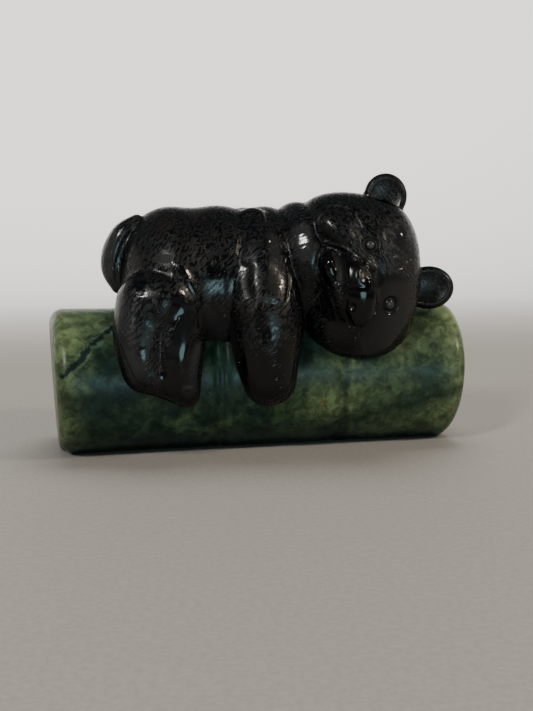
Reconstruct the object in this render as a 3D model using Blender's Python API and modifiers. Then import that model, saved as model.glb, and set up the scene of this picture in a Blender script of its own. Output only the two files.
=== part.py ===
"""Panda carved in dark volcanic glass, lying face down over a bamboo-shaped log of green stone.

Metres, +Z up. X runs along the log towards the panda's head, and the face looks to -Y.
The origin is at the middle of the log's flat underside.
"""
import math
from collections import namedtuple

import bpy
import bmesh
import numpy as np
from mathutils import Matrix, Vector

# Log
LOG_LENGTH = 0.1020
LOG_RADIUS = 0.0176
FOOT_DEPTH = 0.0011
END_ROUNDING = 0.0034
END_FLARE = 0.0004
START_LEAN = 0.0016
END_LEAN = 0.0021
GROOVE_PLACES = (-0.0129, -0.0107, 0.0188)
GROOVE_WIDTHS = (0.0008, 0.0008, 0.0015)
GROOVE_DEPTH = 0.00035
CHIP_RADIUS = 0.0080
CHIP_DEPTH = 0.0020
CHIP_TURN = math.radians(18)
LOG_SIDES = 44
LOG_STATIONS = 7
CORNER_STEPS = 4

# Panda
PANDA_LENGTH = 0.0869
PANDA_SHIFT = -0.00085
SEAT_GAP = 0.0003
SEAT_REACH = 0.0370
SEAT_SIDES = 96
EYE_RING_RADIUS = 0.00150
EYE_GROOVE_RADIUS = 0.00042
SKIN_STEP = 0.00075
PANDA_TRIANGLES = 7400

# The figure is drawn in its own millimetres, for a panda 86.9 long over a log of radius 17.6,
# with heights taken from the log's axis.
DRAWN_LENGTH = 86.9
DRAWN_LOG_RADIUS = 17.6
UNIT = PANDA_LENGTH / DRAWN_LENGTH
AXIS_HEIGHT = LOG_RADIUS - FOOT_DEPTH
LOG_MIDDLE = (END_LEAN - START_LEAN) / 2

SHARP_EDGE = math.radians(40)

# A ball has half-sizes along, up and out; a roll has knots of x, y, z and radius.
# Blend is how softly the form runs into what was drawn before it. A part on both sides can stand
# further along the log on its far side.
Ball = namedtuple("Ball", "centre sizes blend along out", defaults=((1, 0, 0), (0, -1, 0)))
Roll = namedtuple("Roll", "knots blend")
Part = namedtuple("Part", "forms crease both_sides far_shift", defaults=(0.0,))

# The way the face and the ears look
GAZE = (-0.223, -0.965, 0.139)

TORSO = Part((
    Ball((-19.5, 0, 21.8), (13.6, 20.0, 18.0), 0),
    Ball((-21.2, 0, 27.6), (11.4, 13.6, 10.4), 3),
    Ball((-9.0, 0, 22.0), (18.0, 20.5, 17.0), 3),
    Ball((3.0, 0, 22.5), (13.0, 19.8, 16.5), 3),
), 0, False)

HIND_LEG = Part((
    Ball((-24.0, -12.0, 19.4), (9.8, 8.9, 8.8), 0),
    Roll(((-28.4, -12.6, 19.8, 6.4), (-29.5, -14.4, 13.8, 6.4), (-29.6, -16.0, 8.5, 5.6),
          (-29.2, -17.2, 4.3, 4.5)), 2.0),
    Roll(((-20.5, -13.8, 17.8, 6.2), (-20.6, -15.2, 13.2, 6.2), (-20.9, -16.6, 7.5, 5.8),
          (-20.6, -17.7, 1.8, 4.6), (-19.4, -18.2, -1.2, 2.9)), 0.8),
    Ball((-25.2, -17.0, 1.9), (9.0, 3.6, 4.2), 1.6, (0.937, 0, -0.350)),
), 0.9, True, 3.0)

FORELEG = Part((
    Roll(((-1.0, -5.5, 37.2, 4.8), (-0.7, -10.8, 29.5, 6.7), (-0.2, -13.4, 21.5, 8.4),
          (0.2, -14.6, 13.5, 9.1), (0.1, -15.8, 6.5, 7.8), (0.5, -16.6, 1.9, 6.7)), 0),
), 0.7, True)

TAIL = Part((
    Roll(((-28.4, -1.5, 38.8, 1.4), (-31.7, -1.5, 35.7, 2.3), (-33.8, -1.5, 31.5, 2.6),
          (-34.2, -1.5, 27.3, 2.5), (-33.0, -1.5, 23.2, 1.7)), 0),
    Roll(((-28.4, 1.5, 38.8, 1.4), (-31.7, 1.5, 35.7, 2.3), (-33.8, 1.5, 31.5, 2.6),
          (-34.2, 1.5, 27.3, 2.5), (-33.0, 1.5, 23.2, 1.7)), 3),
), 0.5, False)

NECK = Part((
    Ball((11.0, -1.5, 26.4), (9.5, 17.0, 14.4), 0),
    Ball((12.0, -9.5, 30.4), (6.5, 9.0, 8.0), 4),
), 0.8, False)

SKULL = Part((
    Ball((26.2, -8.0, 24.9), (14.4, 19.8, 14.8), 0),
    Ball((31.0, -9.0, 33.0), (6.8, 9.5, 10.5), 4),
    Ball((19.5, -6.0, 35.1), (11.0, 10.5, 12.0), 4),
    Ball((23.5, -11.5, 14.2), (13.0, 10.2, 9.5), 4),
), 0.8, False)

CHEEKS = Part((
    Roll(((16.4, -14.0, 37.4, 4.4), (19.1, -17.2, 34.8, 3.3), (22.6, -20.5, 29.5, 1.6)), 0),
    Roll(((18.5, -13.5, 11.1, 4.6), (20.9, -15.5, 12.0, 3.6), (22.0, -19.0, 13.8, 1.6)), 0.8),
), 0.8, False)

MUZZLE = Part((
    Ball((20.3, -19.5, 23.2), (6.6, 8.6, 6.0), 0),
    Ball((15.2, -17.5, 27.6), (2.9, 4.6, 4.4), 0.6),
    Ball((16.9, -17.0, 19.0), (3.0, 4.6, 4.2), 0.6),
    Ball((20.7, -23.9, 21.6), (3.7, 7.5, 2.6), 0.25, (1, -0.2, 0.02), (-0.12, -0.965, 0.04)),
), 1.2, False)

EARS = Part((
    Ball((32.4, -7.0, 44.8), (5.3, 5.6, 2.6), 0, (1, 0, 0), GAZE),
    Ball((43.4, -9.0, 22.1), (6.3, 5.4, 2.6), 0, (1, 0, 0), GAZE),
), 1.6, False)

PANDA = (TORSO, HIND_LEG, FORELEG, TAIL, NECK, SKULL, CHEEKS, MUZZLE, EARS)
EYES = ((23.9, -21.5, 33.8), (28.7, -21.8, 19.4))
EAR_BOWL_SPREAD = 1.05
EAR_BOWL_DEPTH = 2.6
EAR_BOWL_OFFSET = 3.3


def place(point):
    """World place of a drawn point: the figure hugs the log, whatever the log's radius."""
    x, y, z = (value * UNIT for value in point)
    reach = math.hypot(y, z)
    spread = (LOG_RADIUS - DRAWN_LOG_RADIUS * UNIT) / reach if reach else 0.0
    return np.array([x + PANDA_SHIFT, y * (1 + spread), AXIS_HEIGHT + z * (1 + spread)])


def unit(direction):
    return np.array(direction, float) / np.linalg.norm(direction)


def square_axes(along, out):
    """Columns along, up and out, square to each other."""
    out = unit(out)
    along = unit(along - out * np.dot(along, out))
    return np.array([along, np.cross(out, along), out]).T


def ball_distance(points, ball):
    """Distance of the points from a ball's surface, negative inside."""
    sizes = np.array(ball.sizes) * UNIT
    local = (points - place(ball.centre)) @ square_axes(ball.along, ball.out)
    scaled = np.linalg.norm(local / sizes, axis=1)
    slope = np.linalg.norm(local / sizes ** 2, axis=1)
    return scaled * (scaled - 1) / np.maximum(slope, 1e-9)


def along_curve(knots, steps):
    """Smooth curve through the knots, at steps counted in spans from its start."""
    first = 2 * knots[0] - knots[1]
    last = 2 * knots[-1] - knots[-2]
    padded = np.vstack([first, knots, last])
    span = np.clip(np.floor(steps).astype(int), 0, len(knots) - 2)
    t = (steps - span)[:, None]
    a, b, c, d = (padded[span + shift] for shift in range(4))
    return 0.5 * (2 * b + (c - a) * t + (2 * a - 5 * b + 4 * c - d) * t ** 2
                  + (3 * b - a - 3 * c + d) * t ** 3)


def roll_spine(roll, pieces):
    """Knots in the world, and the steps and points of the roll's middle line."""
    knots = np.array([[*place(knot[:3]), knot[3] * UNIT] for knot in roll.knots])
    steps = np.linspace(0, len(knots) - 1, pieces * (len(knots) - 1) + 1)
    return knots, steps, along_curve(knots, steps)


def roll_distance(points, roll):
    """Distance of the points from a limb whose thickness changes smoothly along it."""
    knots, steps, line = roll_spine(roll, 6)
    nearest = np.full(len(points), np.inf)
    where = np.zeros(len(points))
    for index, (start, end) in enumerate(zip(line[:-1], line[1:])):
        run = end[:3] - start[:3]
        length = np.linalg.norm(run)
        thinning = (start[3] - end[3]) / length
        offset = points - start[:3]
        along = offset @ run / length
        away = np.sqrt(np.maximum(np.sum(offset ** 2, axis=1) - along ** 2, 0))
        share = (along - away * thinning / math.sqrt(1 - thinning ** 2)) / length
        share = np.clip(share, 0, 1)
        own = np.linalg.norm(offset - share[:, None] * run, axis=1) + share * thinning * length - start[3]
        closer = own < nearest
        nearest = np.where(closer, own, nearest)
        where = np.where(closer, steps[index] + share * (steps[index + 1] - steps[index]), where)
    middle = along_curve(knots, where)
    return np.linalg.norm(points - middle[:, :3], axis=1) - middle[:, 3]


def join(first, second, blend):
    """Distance from two forms run together with a soft fillet."""
    if blend <= 0:
        return np.minimum(first, second)
    size = blend * UNIT
    share = np.clip(0.5 + 0.5 * (second - first) / size, 0, 1)
    return second + (first - second) * share - size * share * (1 - share)


def part_distance(points, part):
    if part.both_sides:
        shift = np.where(points[:, 1] > 0, part.far_shift * UNIT, 0)
        points = np.column_stack([points[:, 0] - shift, -np.abs(points[:, 1]), points[:, 2]])
    distance = None
    for form in part.forms:
        measure = ball_distance if isinstance(form, Ball) else roll_distance
        own = measure(points, form)
        distance = own if distance is None else join(distance, own, form.blend)
    return distance


def panda_distance(points):
    distance = None
    for part in PANDA:
        own = part_distance(points, part)
        distance = own if distance is None else join(distance, own, part.crease)
    return distance


def outward(points, distance, reach=0.00005):
    """Unit directions in which the distance grows fastest."""
    slopes = []
    for axis in np.eye(3) * reach:
        slopes.append(distance(points + axis) - distance(points - axis))
    slopes = np.column_stack(slopes)
    return slopes / np.maximum(np.linalg.norm(slopes, axis=1, keepdims=True), 1e-12)


def on_surface(point, start=0.020, rounds=60, stride=0.8):
    """Where a line through a drawn point, along the gaze, meets the panda from outside."""
    gaze = unit(GAZE)
    at = (place(point) + gaze * start)[None]
    for _ in range(rounds):
        at = at - gaze * panda_distance(at)[:, None] * stride
    return at[0], outward(at, panda_distance)[0]


def clear_scene():
    for existing in list(bpy.data.objects):
        bpy.data.objects.remove(existing, do_unlink=True)


def new_collection(name):
    collection = bpy.data.collections.new(name)
    bpy.context.scene.collection.children.link(collection)
    return collection


def stone(name, colour, roughness):
    material = bpy.data.materials.new(name)
    material.use_nodes = True
    shader = material.node_tree.nodes["Principled BSDF"]
    shader.inputs["Base Color"].default_value = (*colour, 1.0)
    shader.inputs["Roughness"].default_value = roughness
    shader.inputs["Metallic"].default_value = 0.0
    return material


def new_object(name, bm, collection):
    mesh = bpy.data.meshes.new(name)
    bm.to_mesh(mesh)
    bm.free()
    made = bpy.data.objects.new(name, mesh)
    collection.objects.link(made)
    return made


def as_cutter(made):
    made.hide_render = True
    made.display_type = "WIRE"
    return made


def cut_with(target, cutter):
    boolean = target.modifiers.new(cutter.name, "BOOLEAN")
    boolean.operation = "DIFFERENCE"
    boolean.solver = "EXACT"
    boolean.object = cutter


def evaluated_mesh(made):
    graph = bpy.context.evaluated_depsgraph_get()
    graph.update()
    return bpy.data.meshes.new_from_object(made.evaluated_get(graph))


def log_radius_at(x):
    """Radius along the log: a slight flare at the ends and shallow rings at the nodes."""
    radius = LOG_RADIUS + END_FLARE * (2 * (x - LOG_MIDDLE) / LOG_LENGTH) ** 4
    for middle, width in zip(GROOVE_PLACES, GROOVE_WIDTHS):
        radius -= GROOVE_DEPTH * math.exp(-((x - middle) / width) ** 2)
    return radius


def log_profile():
    """Half outline of the log, from its head end to its tail end."""
    straight = LOG_LENGTH / 2 - END_ROUNDING
    stations = set(np.linspace(LOG_MIDDLE - straight, LOG_MIDDLE + straight, LOG_STATIONS))
    for middle, width in zip(GROOVE_PLACES, GROOVE_WIDTHS):
        stations.update(middle + width * share for share in (-1.5, 0, 1.5))
    body = [(x, log_radius_at(x)) for x in sorted(stations)]
    rim = body[-1][1] - END_ROUNDING
    corner = []
    for angle in np.linspace(0, math.pi / 2, CORNER_STEPS + 1)[1:]:
        reach = straight + END_ROUNDING * math.sin(angle)
        corner.append((reach, rim + END_ROUNDING * math.cos(angle)))
    corner.append((LOG_LENGTH / 2, 0))
    head_end = [(LOG_MIDDLE + x, r) for x, r in corner]
    tail_end = [(LOG_MIDDLE - x, r) for x, r in corner]
    return list(reversed(head_end)) + list(reversed(body)) + tail_end


def make_log(parts, cutters, material):
    bm = bmesh.new()
    ring = [bm.verts.new((radius, 0, x)) for x, radius in log_profile()]
    for first, second in zip(ring[:-1], ring[1:]):
        bm.edges.new((first, second))
    outline = new_object("log_outline", bm, cutters)
    screw = outline.modifiers.new("Turn", "SCREW")
    screw.axis = "Z"
    screw.steps = LOG_SIDES
    screw.render_steps = LOG_SIDES
    screw.use_merge_vertices = True
    screw.merge_threshold = 0.00001
    mesh = evaluated_mesh(outline)
    bpy.data.objects.remove(outline, do_unlink=True)
    mesh.transform(Matrix.Rotation(math.radians(90), 4, "Y"))
    mesh.transform(Matrix.Translation((0, 0, AXIS_HEIGHT)))
    top = 2 * LOG_RADIUS
    for vertex in mesh.vertices:
        along = 2 * (vertex.co.x - LOG_MIDDLE) / LOG_LENGTH
        lean = END_LEAN if along > 0 else START_LEAN
        vertex.co.x -= along * lean * (1 - vertex.co.z / top)
    mesh.materials.clear()
    mesh.materials.append(material)
    log = bpy.data.objects.new("bamboo_log", mesh)
    parts.objects.link(log)

    bm = bmesh.new()
    bmesh.ops.create_cube(bm, size=1.0)
    size = (2 * LOG_LENGTH, 4 * LOG_RADIUS, 2 * LOG_RADIUS)
    bmesh.ops.scale(bm, vec=size, verts=bm.verts)
    bmesh.ops.translate(bm, vec=(0, 0, -LOG_RADIUS), verts=bm.verts)
    cut_with(log, as_cutter(new_object("foot_cutter", bm, cutters)))

    bm = bmesh.new()
    bmesh.ops.create_icosphere(bm, subdivisions=3, radius=CHIP_RADIUS)
    reach = LOG_RADIUS + CHIP_RADIUS - CHIP_DEPTH - END_ROUNDING / 2
    middle = (LOG_MIDDLE - LOG_LENGTH / 2 - CHIP_RADIUS / 4, -reach * math.sin(CHIP_TURN),
              AXIS_HEIGHT - reach * math.cos(CHIP_TURN))
    bmesh.ops.translate(bm, vec=middle, verts=bm.verts)
    cut_with(log, as_cutter(new_object("chip_cutter", bm, cutters)))
    shade_round(log)
    return log


def shade_round(made):
    made.data.shade_smooth()
    made.data.set_sharp_from_angle(angle=SHARP_EDGE)


def add_sphere(bm, middle, axes, sizes, far=False, shift=0.0):
    """Sphere stretched to the sizes, or the like one on the far side of the log."""
    columns = np.array(axes) * np.array(sizes)
    middle = np.array(middle, float)
    if far:
        columns[1] *= -1
        columns[:, 0] *= -1
        middle = middle * (1, -1, 1) + (shift, 0, 0)
    matrix = Matrix(columns.tolist()).to_4x4()
    matrix.translation = middle.tolist()
    bmesh.ops.create_icosphere(bm, subdivisions=3, radius=1.0, matrix=matrix)


def rough_panda(collection):
    """All the forms as overlapping spheres, skinned over as one body."""
    bm = bmesh.new()
    for part in PANDA:
        shift = part.far_shift * UNIT
        for far in ((False, True) if part.both_sides else (False,)):
            for form in part.forms:
                if isinstance(form, Ball):
                    axes = square_axes(form.along, form.out)
                    add_sphere(bm, place(form.centre), axes, np.array(form.sizes) * UNIT, far, shift)
                    continue
                for x, y, z, radius in roll_spine(form, 4)[2]:
                    add_sphere(bm, (x, y, z), np.eye(3), (radius,) * 3, far, shift)
    rough = new_object("rough_panda", bm, collection)
    remesh = rough.modifiers.new("Skin", "REMESH")
    remesh.mode = "VOXEL"
    remesh.voxel_size = SKIN_STEP
    mesh = evaluated_mesh(rough)
    bpy.data.objects.remove(rough, do_unlink=True)
    return mesh


def settle(mesh, rounds=8, ease=0.5):
    """Relax the skin and draw it onto the exact soft form of the figure."""
    points = np.empty(3 * len(mesh.vertices))
    mesh.vertices.foreach_get("co", points)
    points = points.reshape(-1, 3)
    edges = np.empty(2 * len(mesh.edges), int)
    mesh.edges.foreach_get("vertices", edges)
    edges = edges.reshape(-1, 2)
    count = np.bincount(edges.ravel(), minlength=len(points))[:, None]
    for _ in range(rounds):
        sums = np.zeros_like(points)
        np.add.at(sums, edges[:, 0], points[edges[:, 1]])
        np.add.at(sums, edges[:, 1], points[edges[:, 0]])
        pull = sums / count - points
        normal = outward(points, panda_distance)
        pull -= normal * np.sum(pull * normal, axis=1, keepdims=True)
        points = points + ease * pull
        points = points - normal * panda_distance(points)[:, None]
    mesh.vertices.foreach_set("co", points.ravel())
    mesh.update()


def make_panda(parts, cutters, material):
    mesh = rough_panda(cutters)
    settle(mesh)
    mesh.materials.clear()
    mesh.materials.append(material)
    panda = bpy.data.objects.new("panda", mesh)
    parts.objects.link(panda)
    thin = panda.modifiers.new("Thin", "DECIMATE")
    thin.ratio = PANDA_TRIANGLES / (2 * len(mesh.polygons))

    bpy.ops.mesh.primitive_cylinder_add(
        vertices=SEAT_SIDES, radius=log_radius_at(SEAT_REACH) + SEAT_GAP,
        depth=2 * (LOG_LENGTH + PANDA_LENGTH), location=(LOG_MIDDLE, 0, AXIS_HEIGHT),
        rotation=(0, math.radians(90), 0))
    adopt(bpy.context.object, "seat_cutter", cutters)
    cut_with(panda, bpy.context.object)

    for number, eye in enumerate(EYES, start=1):
        spot, normal = on_surface(eye)
        bpy.ops.mesh.primitive_torus_add(
            major_radius=EYE_RING_RADIUS, minor_radius=EYE_GROOVE_RADIUS,
            major_segments=20, minor_segments=6, location=spot.tolist(),
            rotation=Vector(normal).to_track_quat("Z", "Y").to_euler())
        adopt(bpy.context.object, f"eye_ring_cutter_{number}", cutters)
        cut_with(panda, bpy.context.object)

    for number, ear in enumerate(EARS.forms, start=1):
        bm = bmesh.new()
        middle = place(ear.centre) + unit(ear.out) * EAR_BOWL_OFFSET * UNIT
        wide, tall, _ = ear.sizes
        sizes = np.array((wide * EAR_BOWL_SPREAD, tall * EAR_BOWL_SPREAD, EAR_BOWL_DEPTH)) * UNIT
        add_sphere(bm, middle, square_axes(ear.along, ear.out), sizes)
        cut_with(panda, as_cutter(new_object(f"ear_bowl_cutter_{number}", bm, cutters)))
    shade_round(panda)
    return panda


def adopt(made, name, collection):
    """Name a new primitive and move it to the collection, as a cutter."""
    for holder in made.users_collection:
        holder.objects.unlink(made)
    collection.objects.link(made)
    made.name = name
    as_cutter(made)


def main():
    clear_scene()
    parts = new_collection("Panda carving")
    cutters = new_collection("Cutters")
    green = stone("green stone", (0.16, 0.21, 0.08), 0.42)
    dark = stone("dark glass", (0.012, 0.011, 0.012), 0.14)
    make_log(parts, cutters, green)
    make_panda(parts, cutters, dark)


main()
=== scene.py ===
"""Looks of the panda carving: the polished dark panda, its green stone log, floor, light and camera."""
import math
from collections import namedtuple

import bpy
import bmesh
import numpy as np
from mathutils import Matrix, Vector
from numpy.linalg import norm


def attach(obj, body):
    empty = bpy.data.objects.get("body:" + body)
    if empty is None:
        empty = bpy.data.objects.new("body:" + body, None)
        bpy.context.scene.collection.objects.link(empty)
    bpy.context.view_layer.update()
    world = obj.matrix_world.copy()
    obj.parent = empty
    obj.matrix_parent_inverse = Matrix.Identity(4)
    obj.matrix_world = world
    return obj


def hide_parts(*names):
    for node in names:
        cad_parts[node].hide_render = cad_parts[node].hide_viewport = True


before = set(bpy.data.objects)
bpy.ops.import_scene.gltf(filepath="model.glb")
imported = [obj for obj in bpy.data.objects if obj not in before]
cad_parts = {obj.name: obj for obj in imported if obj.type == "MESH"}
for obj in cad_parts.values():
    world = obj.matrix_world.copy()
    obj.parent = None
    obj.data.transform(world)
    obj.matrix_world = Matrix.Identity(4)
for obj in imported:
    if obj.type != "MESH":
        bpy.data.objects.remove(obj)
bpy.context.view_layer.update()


# Log, in metres
LOG_LENGTH = 0.102
LOG_RADIUS = 0.0176
FOOT_DEPTH = 0.0011
END_ROUNDING = 0.0034
END_FLARE = 0.0004
START_LEAN = 0.0016
END_LEAN = 0.0021
LOG_MIDDLE = (END_LEAN - START_LEAN) / 2
GROOVE_PLACES = (-0.0129, -0.0107, 0.0188)
GROOVE_WIDTHS = (0.0008, 0.0008, 0.0015)
GROOVE_DEPTH = 0.00035
AXIS_HEIGHT = LOG_RADIUS - FOOT_DEPTH

# The figure is drawn in millimetres, with heights taken from the log's axis.
UNIT = 0.001
PANDA_SHIFT = -0.00085
SEAT_CLEARANCE = 0.00004
SEAT_BLEND = 0.35
# Width of the strip along the seat where the mesh stays coarse
SEAT_STRIP = 0.0002
SKIN_STEP = 0.0009
# Distance from which a form counts as a ball round it
FAR_ENOUGH = 0.005
# Length over which a field's slope is measured
SLOPE_REACH = 0.00005

# Camera of the photograph
PHOTO_SIZE = (533, 711)
PIXEL_FOCUS = 1068.0
AZIMUTH = math.radians(-13.0)
ELEVATION = math.radians(8.0)
CAMERA_REACH = 0.27
CAMERA_TARGET = (0.00295, 0.0, 0.0214)
SENSOR_WIDTH = 36.0
CLIP_RANGE = (0.01, 10.0)

# A ball has half-sizes along, up and out; a roll has knots of x, y, z and radius.
# Blend is how softly the form runs into what was drawn before it. A part on both sides can stand
# further along the log on its far side.
Ball = namedtuple("Ball", "centre sizes blend along out", defaults=((1, 0, 0), (0, -1, 0)))
Roll = namedtuple("Roll", "knots blend")
Part = namedtuple("Part", "forms crease both_sides far_shift", defaults=(0.0,))

# The way the face and the ears look
GAZE = (-0.223, -0.965, 0.139)

TORSO = Part((
    Ball((-19.5, 0, 21.8), (13.6, 20.0, 18.0), 0),
    Ball((-21.2, 0, 27.6), (11.4, 13.6, 10.4), 3),
    Ball((-9.0, 0, 22.0), (18.0, 20.5, 17.0), 3),
    Ball((3.0, 0, 22.5), (13.0, 19.8, 16.5), 3),
), 0, False)

HIND_LEG = Part((
    Ball((-24.0, -12.0, 19.4), (9.8, 8.9, 8.8), 0),
    Roll(((-28.4, -12.6, 19.8, 6.4), (-29.5, -14.4, 13.8, 6.4), (-29.6, -16.0, 8.5, 5.6),
          (-29.2, -17.2, 4.3, 4.5)), 2.0),
    Roll(((-20.5, -13.8, 17.8, 6.2), (-20.6, -15.2, 13.2, 6.2), (-20.9, -16.6, 7.5, 5.8),
          (-20.6, -17.7, 1.8, 4.6), (-19.4, -18.2, -1.2, 2.9)), 0.8),
    Ball((-25.2, -17.0, 1.9), (9.0, 3.6, 4.2), 1.6, (0.937, 0, -0.35)),
), 0.9, True, 3.0)

FORELEG = Part((
    Roll(((-1.0, -5.5, 37.2, 4.8), (-0.7, -10.8, 29.5, 6.7), (-0.2, -13.4, 21.5, 8.4),
          (0.2, -14.6, 13.5, 9.1), (0.1, -15.8, 6.5, 7.8), (0.5, -16.6, 1.9, 6.7)), 0),
), 0.7, True)

TAIL_KNOTS = ((-28.4, 38.8, 1.4), (-31.7, 35.7, 2.3), (-33.8, 31.5, 2.6), (-34.2, 27.3, 2.5),
              (-33.0, 23.2, 1.7))
TAIL = Part(tuple(Roll(tuple((x, y, z, radius) for x, z, radius in TAIL_KNOTS), blend)
                  for y, blend in ((-1.5, 0), (1.5, 3))), 0.5, False)

NECK = Part((
    Ball((11.0, -1.5, 26.4), (9.5, 17.0, 14.4), 0),
    Ball((12.0, -9.5, 30.4), (6.5, 9.0, 8.0), 4),
), 0.8, False)

SKULL = Part((
    Ball((26.2, -8.0, 24.9), (14.4, 19.8, 14.8), 0),
    Ball((31.0, -9.0, 33.0), (6.8, 9.5, 10.5), 4),
    Ball((19.5, -6.0, 35.1), (11.0, 10.5, 12.0), 4),
    Ball((23.5, -11.5, 14.2), (13.0, 10.2, 9.5), 4),
), 0.8, False)

CHEEKS = Part((
    Roll(((16.4, -14.0, 37.4, 4.4), (19.1, -17.2, 34.8, 3.3), (22.6, -20.5, 29.5, 1.6)), 0),
    Roll(((18.5, -13.5, 11.1, 4.6), (20.9, -15.5, 12.0, 3.6), (22.0, -19.0, 13.8, 1.6)), 0.8),
), 0.8, False)

MUZZLE = Part((
    Ball((20.3, -19.5, 23.2), (6.6, 8.6, 6.0), 0),
    Ball((15.2, -17.5, 27.6), (2.9, 4.6, 4.4), 0.6),
    Ball((16.9, -17.0, 19.0), (3.0, 4.6, 4.2), 0.6),
    Ball((20.7, -23.9, 21.6), (3.7, 7.5, 2.6), 0.25, (1, -0.2, 0.02), (-0.12, -0.965, 0.04)),
), 1.2, False)

EARS = Part((
    Ball((32.4, -7.0, 44.8), (5.3, 5.6, 2.6), 0, (1, 0, 0), GAZE),
    Ball((43.4, -9.0, 22.1), (6.3, 5.4, 2.6), 0, (1, 0, 0), GAZE),
), 1.6, False)

PANDA = (TORSO, HIND_LEG, FORELEG, TAIL, NECK, SKULL, CHEEKS, MUZZLE, EARS)
EAR_BOWL_SPREAD = 1.05
EAR_BOWL_DEPTH = 2.6
EAR_BOWL_OFFSET = 3.3
EAR_BOWL_BLEND = 0.5


def unit(direction):
    return np.array(direction, float) / norm(direction)


def place(point):
    """World place of a drawn point."""
    return np.array(point) * UNIT + (PANDA_SHIFT, 0, AXIS_HEIGHT)


def square_axes(along, out):
    """Columns along, up and out, square to each other."""
    out = unit(out)
    along = unit(along - out * np.dot(along, out))
    return np.array([along, np.cross(out, along), out]).T


def ball_distance(points, ball):
    """Distance of the points from a ball's surface, negative inside."""
    sizes = np.array(ball.sizes) * UNIT
    local = (points - place(ball.centre)) @ square_axes(ball.along, ball.out)
    scaled = norm(local / sizes, axis=1)
    slope = norm(local / sizes ** 2, axis=1)
    return scaled * (scaled - 1) / np.maximum(slope, 1e-9)


def along_curve(knots, steps):
    """Smooth curve through the knots, at steps counted in spans from its start."""
    first = 2 * knots[0] - knots[1]
    last = 2 * knots[-1] - knots[-2]
    padded = np.vstack([first, knots, last])
    span = np.clip(np.floor(steps).astype(int), 0, len(knots) - 2)
    t = (steps - span)[:, None]
    a, b, c, d = (padded[span + shift] for shift in range(4))
    return 0.5 * (2 * b + (c - a) * t + (2 * a - 5 * b + 4 * c - d) * t ** 2
                  + (3 * b - a - 3 * c + d) * t ** 3)


def roll_spine(roll, pieces):
    """Knots in the world, and the steps and points of the roll's middle line."""
    knots = np.array([[*place(knot[:3]), knot[3] * UNIT] for knot in roll.knots])
    steps = np.linspace(0, len(knots) - 1, pieces * (len(knots) - 1) + 1)
    return knots, steps, along_curve(knots, steps)


def nearest_on_line(points, line):
    """Distance to a broken line, and how far along it the nearest place is, in its segments."""
    nearest = np.full(len(points), np.inf)
    where = np.zeros(len(points))
    for index in range(len(line) - 1):
        run = line[index + 1] - line[index]
        share = np.clip((points - line[index]) @ run / (run @ run), 0, 1)
        away = norm(points - line[index] - share[:, None] * run, axis=1)
        closer = away < nearest
        nearest = np.where(closer, away, nearest)
        where = np.where(closer, index + share, where)
    return nearest, where


def roll_distance(points, roll):
    """Distance of the points from a limb whose thickness changes smoothly along it."""
    knots, steps, line = roll_spine(roll, 6)
    nearest = np.full(len(points), np.inf)
    where = np.zeros(len(points))
    for index, (start, end) in enumerate(zip(line[:-1], line[1:])):
        run = end[:3] - start[:3]
        length = norm(run)
        thinning = (start[3] - end[3]) / length
        offset = points - start[:3]
        along = offset @ run / length
        away = np.sqrt(np.maximum(np.sum(offset ** 2, axis=1) - along ** 2, 0))
        share = (along - away * thinning / math.sqrt(1 - thinning ** 2)) / length
        share = np.clip(share, 0, 1)
        own = norm(offset - share[:, None] * run, axis=1) + share * thinning * length - start[3]
        closer = own < nearest
        nearest = np.where(closer, own, nearest)
        where = np.where(closer, steps[index] + share * (steps[index + 1] - steps[index]), where)
    middle = along_curve(knots, where)
    return norm(points - middle[:, :3], axis=1) - middle[:, 3]


def bounding_ball(form):
    if isinstance(form, Ball):
        return place(form.centre), max(form.sizes) * UNIT
    line = roll_spine(form, 4)[2]
    middle = line[:, :3].mean(axis=0)
    return middle, np.max(norm(line[:, :3] - middle, axis=1) + line[:, 3])


def form_distance(points, form):
    """Exact near the form, and the distance to a ball round it further off."""
    middle, radius = bounding_ball(form)
    distance = norm(points - middle, axis=1) - radius
    near = distance < FAR_ENOUGH
    if near.any():
        measure = ball_distance if isinstance(form, Ball) else roll_distance
        distance[near] = measure(points[near], form)
    return distance


def join(first, second, blend):
    """Distance from two forms run together with a soft fillet."""
    if blend <= 0:
        return np.minimum(first, second)
    size = blend * UNIT
    share = np.clip(0.5 + 0.5 * (second - first) / size, 0, 1)
    return second + (first - second) * share - size * share * (1 - share)


def part_distance(points, part):
    if part.both_sides:
        shift = np.where(points[:, 1] > 0, part.far_shift * UNIT, 0)
        points = np.column_stack([points[:, 0] - shift, -np.abs(points[:, 1]), points[:, 2]])
    distance = None
    for form in part.forms:
        own = form_distance(points, form)
        distance = own if distance is None else join(distance, own, form.blend)
    return distance


def panda_distance(points):
    distance = None
    for part in PANDA:
        own = part_distance(points, part)
        distance = own if distance is None else join(distance, own, part.crease)
    return distance


def seat_radius(x):
    """Radius that the panda's underside is ground to, so that it fits the log."""
    return LOG_RADIUS + END_FLARE * (2 * (x - LOG_MIDDLE) / LOG_LENGTH) ** 4 + SEAT_CLEARANCE


def inside_seat(points):
    reach = np.hypot(points[:, 1], points[:, 2] - AXIS_HEIGHT)
    return seat_radius(points[:, 0]) - reach


def seated_distance(points):
    """The panda with the log's place taken out of it."""
    return -join(-panda_distance(points), -inside_seat(points), SEAT_BLEND)


def outward(points, distance):
    """Unit directions in which the distance grows fastest."""
    corners = np.array([(1, -1, -1), (-1, -1, 1), (-1, 1, -1), (1, 1, 1)], float)
    slope = sum(corner * distance(points + corner * SLOPE_REACH)[:, None] for corner in corners)
    return slope / np.maximum(norm(slope, axis=1, keepdims=True), 1e-12)


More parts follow.
